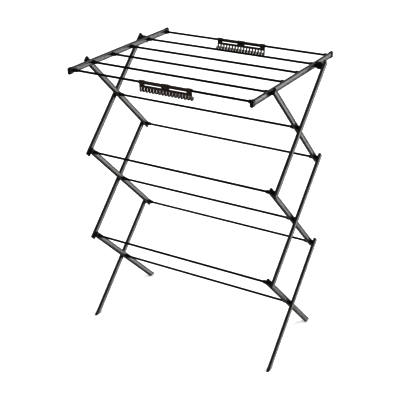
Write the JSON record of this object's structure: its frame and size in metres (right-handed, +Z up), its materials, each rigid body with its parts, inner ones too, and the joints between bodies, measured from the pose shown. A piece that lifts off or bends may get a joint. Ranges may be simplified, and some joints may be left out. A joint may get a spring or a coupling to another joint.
{
  "type": "folding laundry drying rack",
  "caption": "Free-standing accordion drying rack: crossed flat-oval tube arms, round hanging rods, a lift-up top tray that hooks on the rear arms, and clip-on hanger combs.",
  "frame": {"origin": "on the floor, under the middle of the overall box", "axes": "+X along the hanging rods to the right, -Y to the front, +Z up"},
  "size_m": [0.7762, 0.6388, 1.0682],
  "materials": {
    "tube_coat": "charcoal powder coat, satin",
    "rod_coat": "black coated wire, satin",
    "moulding": "black moulded plastic, fine grain",
    "comb_black": "black moulded plastic, soft sheen"
  },
  "bodies": {
    "rear_leg_frame": {"rear_leg_left": "tube_coat", "rear_leg_right": "tube_coat", "leg_cross_rod": "rod_coat", "low_front_rod": "rod_coat", "leg_ferrules": "moulding", "leg_spacers": "moulding", "rear_leg_plugs": "moulding", "rear_feet": "moulding"},
    "front_leg_pair": {"front_leg_left": "tube_coat", "front_leg_right": "tube_coat", "front_leg_bushes": "moulding", "front_leg_plugs": "moulding", "front_feet": "moulding"},
    "mid_inner_frame": {"mid_inner_arm_left": "tube_coat", "mid_inner_arm_right": "tube_coat", "low_rear_rod": "rod_coat", "mid_cross_rod": "rod_coat", "high_front_rod": "rod_coat", "mid_ferrules": "moulding", "mid_spacers": "moulding", "mid_inner_plugs": "moulding"},
    "mid_outer_pair": {"mid_outer_arm_left": "tube_coat", "mid_outer_arm_right": "tube_coat", "mid_outer_bushes": "moulding", "mid_outer_plugs": "moulding"},
    "top_inner_frame": {"top_inner_arm_left": "tube_coat", "top_inner_arm_right": "tube_coat", "high_rear_rod": "rod_coat", "top_cross_rod": "rod_coat", "top_ferrules": "moulding", "top_spacers": "moulding", "tray_pivot_bushes": "moulding", "top_inner_plugs": "moulding"},
    "top_outer_pair": {"top_outer_arm_left": "tube_coat", "top_outer_arm_right": "tube_coat", "top_outer_bushes": "moulding", "top_outer_plugs": "moulding", "hook_pegs": "moulding"},
    "tray": {"tray_rail_left": "tube_coat", "tray_rail_right": "tube_coat", "tray_rod_1": "rod_coat", "tray_rod_2": "rod_coat", "tray_rod_3": "rod_coat", "tray_rod_4": "rod_coat", "tray_rod_5": "rod_coat", "tray_rod_6": "rod_coat", "tray_ferrules": "moulding", "tray_spacers": "moulding", "rail_front_caps": "moulding", "rail_rear_caps": "moulding", "tray_hook_left": "moulding", "tray_hook_right": "moulding"},
    "front_comb": {"hanger_comb_front": "comb_black"},
    "rear_comb": {"hanger_comb_rear": "comb_black"}
  },
  "joints": [
    {"name": "fold", "type": "hinge", "parent": "rear_leg_frame", "child": "front_leg_pair", "pos_m": [0, -0.0081, 0.18282], "axis": [1, 0, 0], "range_deg": [0, 83]},
    {"name": "low_rear_pivot", "type": "hinge", "parent": "front_leg_pair", "child": "mid_inner_frame", "pos_m": [0, 0.17071, 0.3561], "axis": [1, 0, 0], "range_deg": [-83, 0]},
    {"name": "high_front_pivot", "type": "hinge", "parent": "mid_inner_frame", "child": "top_outer_pair", "pos_m": [0, -0.18691, 0.70266], "axis": [1, 0, 0], "range_deg": [0, 83]},
    {"name": "low_front_pivot", "type": "hinge", "parent": "rear_leg_frame", "child": "mid_outer_pair", "pos_m": [0, -0.18691, 0.3561], "axis": [1, 0, 0], "range_deg": [0, 83]},
    {"name": "high_rear_pivot", "type": "hinge", "parent": "mid_outer_pair", "child": "top_inner_frame", "pos_m": [0, 0.17071, 0.70266], "axis": [1, 0, 0], "range_deg": [-83, 0]},
    {"name": "tray_pivot", "type": "hinge", "parent": "top_inner_frame", "child": "tray", "pos_m": [0, -0.18691, 1.04923], "axis": [1, 0, 0], "range_deg": [0, 129.48]},
    {"name": "front_comb_slide", "type": "slide", "parent": "tray", "child": "front_comb", "axis": [1, 0, 0], "range_m": [-0.2, 0.15]},
    {"name": "rear_comb_slide", "type": "slide", "parent": "tray", "child": "rear_comb", "axis": [1, 0, 0], "range_m": [-0.18, 0.18]}
  ],
  "couplings": [
    {"joint": "low_rear_pivot", "follows": "fold", "ratio": -1},
    {"joint": "high_front_pivot", "follows": "fold", "ratio": 1},
    {"joint": "low_front_pivot", "follows": "fold", "ratio": 1},
    {"joint": "high_rear_pivot", "follows": "fold", "ratio": -1},
    {"joint": "tray_pivot", "follows": "fold", "ratio": 1.56}
  ]
}
